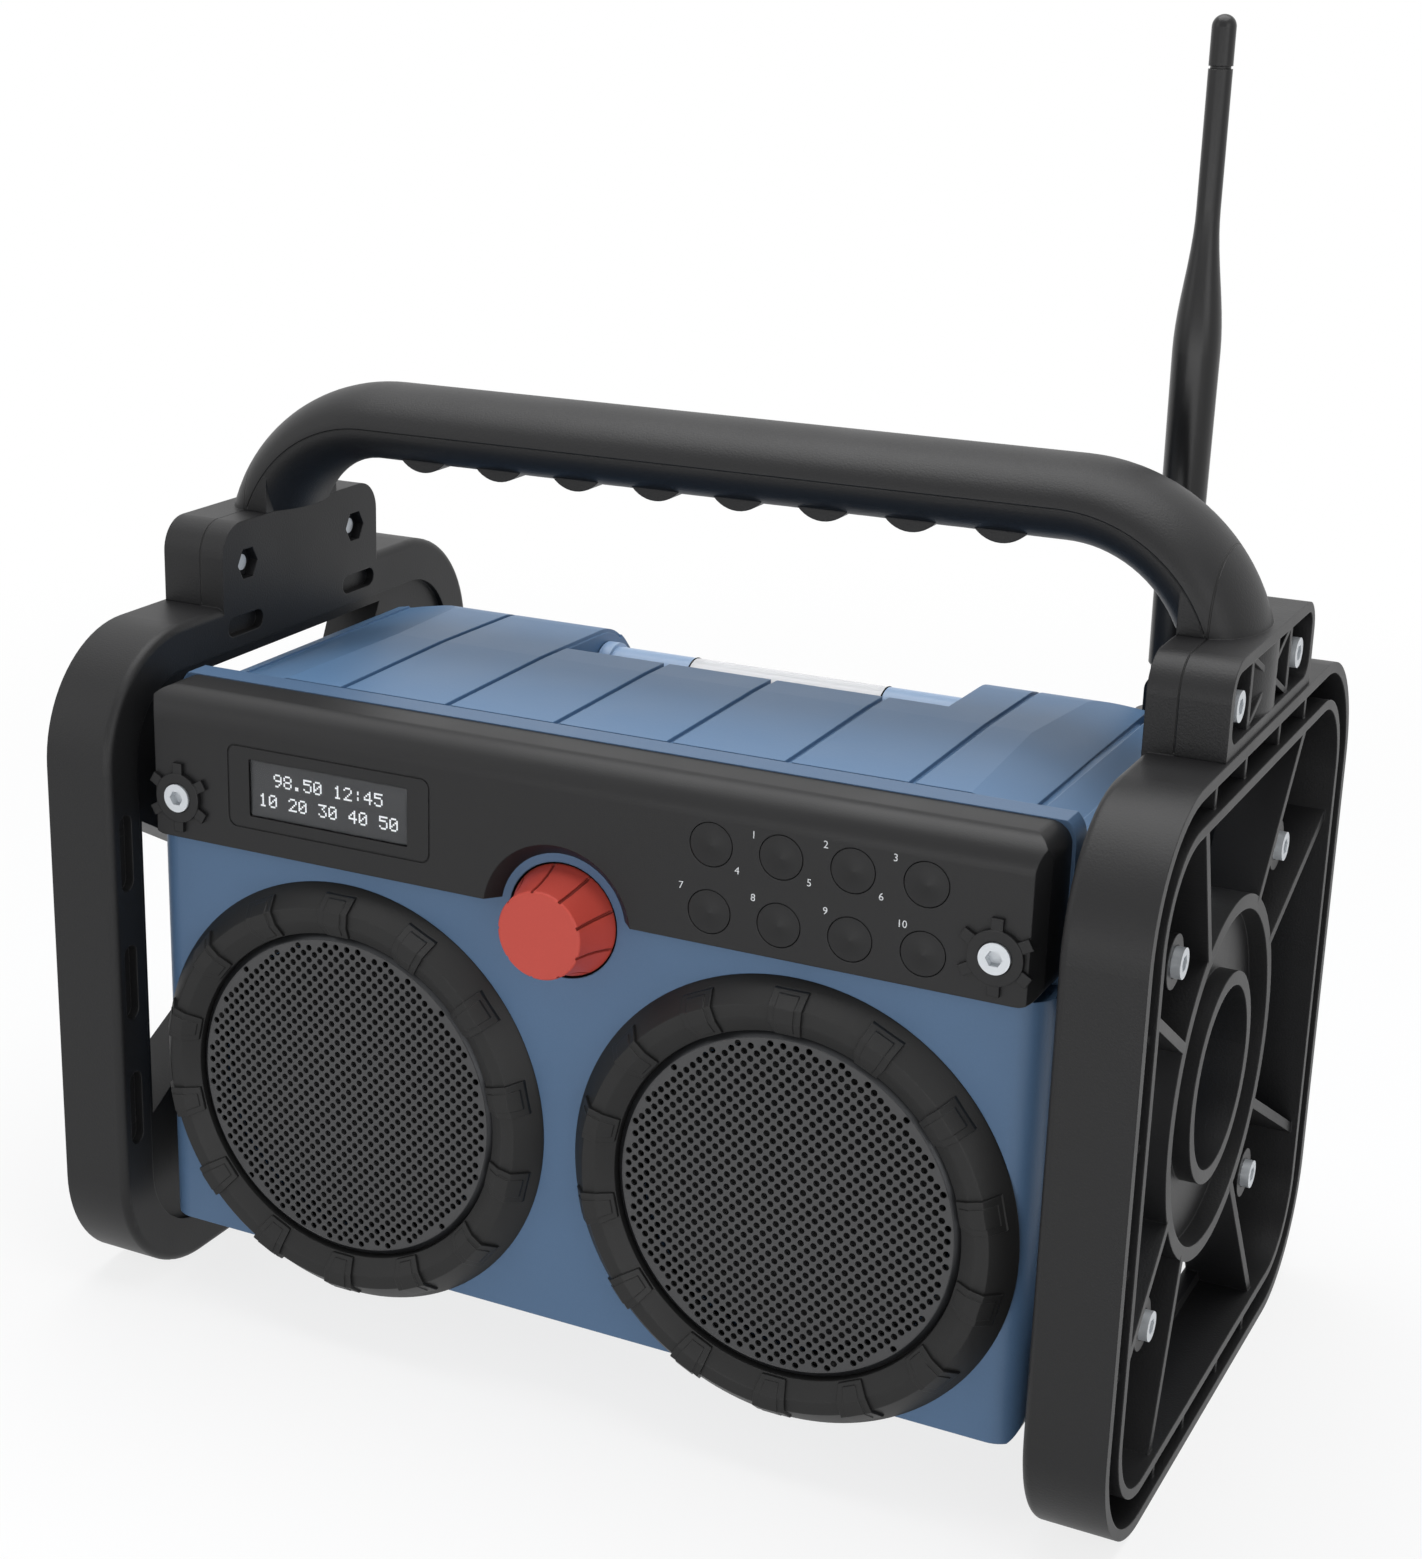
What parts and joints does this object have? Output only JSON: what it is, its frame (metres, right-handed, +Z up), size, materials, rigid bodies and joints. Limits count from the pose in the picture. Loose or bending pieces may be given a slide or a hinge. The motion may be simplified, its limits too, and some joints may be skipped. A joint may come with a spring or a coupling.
{
  "type": "jobsite radio",
  "caption": "Portable building-site radio: box cabinet with round speakers, knob and keys, slung between roll-cage side frames, with a carrying handle, work lamp and folding aerial.",
  "frame": {"origin": "on the ground, at the centre of the outline", "axes": "+X to the right of somebody facing the radio, +Y towards its back, +Z up"},
  "size_m": [0.3336, 0.208, 0.3897],
  "materials": {
    "cabinet_blue": "satin moulded plastic",
    "deck_blue": "satin moulded plastic",
    "panel_black": "matte black moulded plastic",
    "frame_black": "fine-grained black plastic",
    "handle_black": "soft-touch black",
    "ring_rubber": "black rubber",
    "grille_grey": "dark grey powder coat, perforated",
    "knob_red": "satin orange-red plastic",
    "button_black": "black rubber",
    "bushing_black": "black rubber",
    "steel": "zinc-plated steel",
    "display_clear": "clear acrylic",
    "display_dark": "dark liquid-crystal module",
    "board_green": "circuit board",
    "inner_plastic": "black moulded plastic",
    "basket_steel": "black stamped steel",
    "cone_paper": "coated paper cone with rubber surround",
    "magnet_ferrite": "ferrite",
    "antenna_black": "gloss black",
    "lamp_blue": "satin moulded plastic",
    "lamp_clear": "frosted clear plastic",
    "cell_jacket": "printed steel jacket, plain"
  },
  "bodies": {
    "cabinet": {"cabinet_front": "cabinet_blue", "cabinet_rear": "cabinet_blue", "top_deck": "deck_blue", "control_panel": "panel_black", "display_window": "display_clear", "display_module": "display_dark", "key_board": "board_green", "encoder_body": "inner_plastic", "panel_bushings": "bushing_black", "panel_screws": "steel", "frame_bushings": "bushing_black", "frame_screws": "steel", "handle_screws": "steel", "handle_nuts": "steel", "shell_screws": "steel", "side_frame_right": "frame_black", "side_frame_left": "frame_black", "handle_outer": "handle_black", "handle_inner": "handle_black", "speaker_ring_left": "ring_rubber", "speaker_ring_right": "ring_rubber", "grille_left": "grille_grey", "grille_right": "grille_grey", "driver_basket_left": "basket_steel", "driver_basket_right": "basket_steel", "driver_cone_left": "cone_paper", "driver_cone_right": "cone_paper", "driver_magnet_left": "magnet_ferrite", "driver_magnet_right": "magnet_ferrite", "driver_screws": "steel", "battery_tray": "inner_plastic", "battery_cells": "cell_jacket", "door_hinge_pin": "steel", "socket_block": "inner_plastic", "main_board": "board_green"},
    "key_1": {"button_1": "button_black"},
    "key_2": {"button_2": "button_black"},
    "key_3": {"button_3": "button_black"},
    "key_4": {"button_4": "button_black"},
    "key_5": {"button_5": "button_black"},
    "key_6": {"button_6": "button_black"},
    "key_7": {"button_7": "button_black"},
    "key_8": {"button_8": "button_black"},
    "knob_push": {"encoder_plunger": "inner_plastic"},
    "knob_turn": {"control_knob": "knob_red", "knob_shaft": "steel"},
    "antenna_swivel": {"antenna_foot": "antenna_black", "antenna_pin": "steel"},
    "antenna_mast": {"antenna_whip": "antenna_black", "antenna_tip": "antenna_black"},
    "lamp": {"lamp_tube": "lamp_blue", "lamp_window": "lamp_clear", "lamp_strip": "board_green"},
    "door": {"battery_door": "cabinet_blue"},
    "flap": {"socket_flap": "bushing_black"}
  },
  "joints": [
    {"name": "button_1_press", "type": "slide", "parent": "cabinet", "child": "key_1", "axis": [0, 1, 0], "range_m": [0, 0.0008], "stiffness_N_per_m": 800},
    {"name": "button_2_press", "type": "slide", "parent": "cabinet", "child": "key_2", "axis": [0, 1, 0], "range_m": [0, 0.0008], "stiffness_N_per_m": 800},
    {"name": "button_3_press", "type": "slide", "parent": "cabinet", "child": "key_3", "axis": [0, 1, 0], "range_m": [0, 0.0008], "stiffness_N_per_m": 800},
    {"name": "button_4_press", "type": "slide", "parent": "cabinet", "child": "key_4", "axis": [0, 1, 0], "range_m": [0, 0.0008], "stiffness_N_per_m": 800},
    {"name": "button_5_press", "type": "slide", "parent": "cabinet", "child": "key_5", "axis": [0, 1, 0], "range_m": [0, 0.0008], "stiffness_N_per_m": 800},
    {"name": "button_6_press", "type": "slide", "parent": "cabinet", "child": "key_6", "axis": [0, 1, 0], "range_m": [0, 0.0008], "stiffness_N_per_m": 800},
    {"name": "button_7_press", "type": "slide", "parent": "cabinet", "child": "key_7", "axis": [0, 1, 0], "range_m": [0, 0.0008], "stiffness_N_per_m": 800},
    {"name": "button_8_press", "type": "slide", "parent": "cabinet", "child": "key_8", "axis": [0, 1, 0], "range_m": [0, 0.0008], "stiffness_N_per_m": 800},
    {"name": "knob_press", "type": "slide", "parent": "cabinet", "child": "knob_push", "axis": [0, 1, 0], "range_m": [0, 0.0006], "stiffness_N_per_m": 1500},
    {"name": "knob_rotate", "type": "hinge", "parent": "knob_push", "child": "knob_turn", "pos_m": [0, -0.0975, 0.1507], "axis": [0, -1, 0], "continuous": true},
    {"name": "antenna_turn", "type": "hinge", "parent": "cabinet", "child": "antenna_swivel", "pos_m": [0.1198, 0.0676, 0.184], "axis": [0, 0, 1], "range_deg": [-90, 10]},
    {"name": "antenna_tilt", "type": "hinge", "parent": "antenna_swivel", "child": "antenna_mast", "pos_m": [0.1198, 0.0676, 0.1965], "axis": [0, 1, 0], "range_deg": [-86, 8]},
    {"name": "lamp_turn", "type": "hinge", "parent": "cabinet", "child": "lamp", "pos_m": [0.0092, 0.0336, 0.1853], "axis": [1, 0, 0], "range_deg": [-90, 90]},
    {"name": "battery_door_open", "type": "hinge", "parent": "cabinet", "child": "door", "pos_m": [0, 0.0952, 0.0395], "axis": [-1, 0, 0], "range_deg": [0, 100]},
    {"name": "socket_flap_open", "type": "hinge", "parent": "cabinet", "child": "flap", "pos_m": [0.105, 0.0918, 0.07], "axis": [-1, 0, 0], "range_deg": [0, 100]}
  ]
}
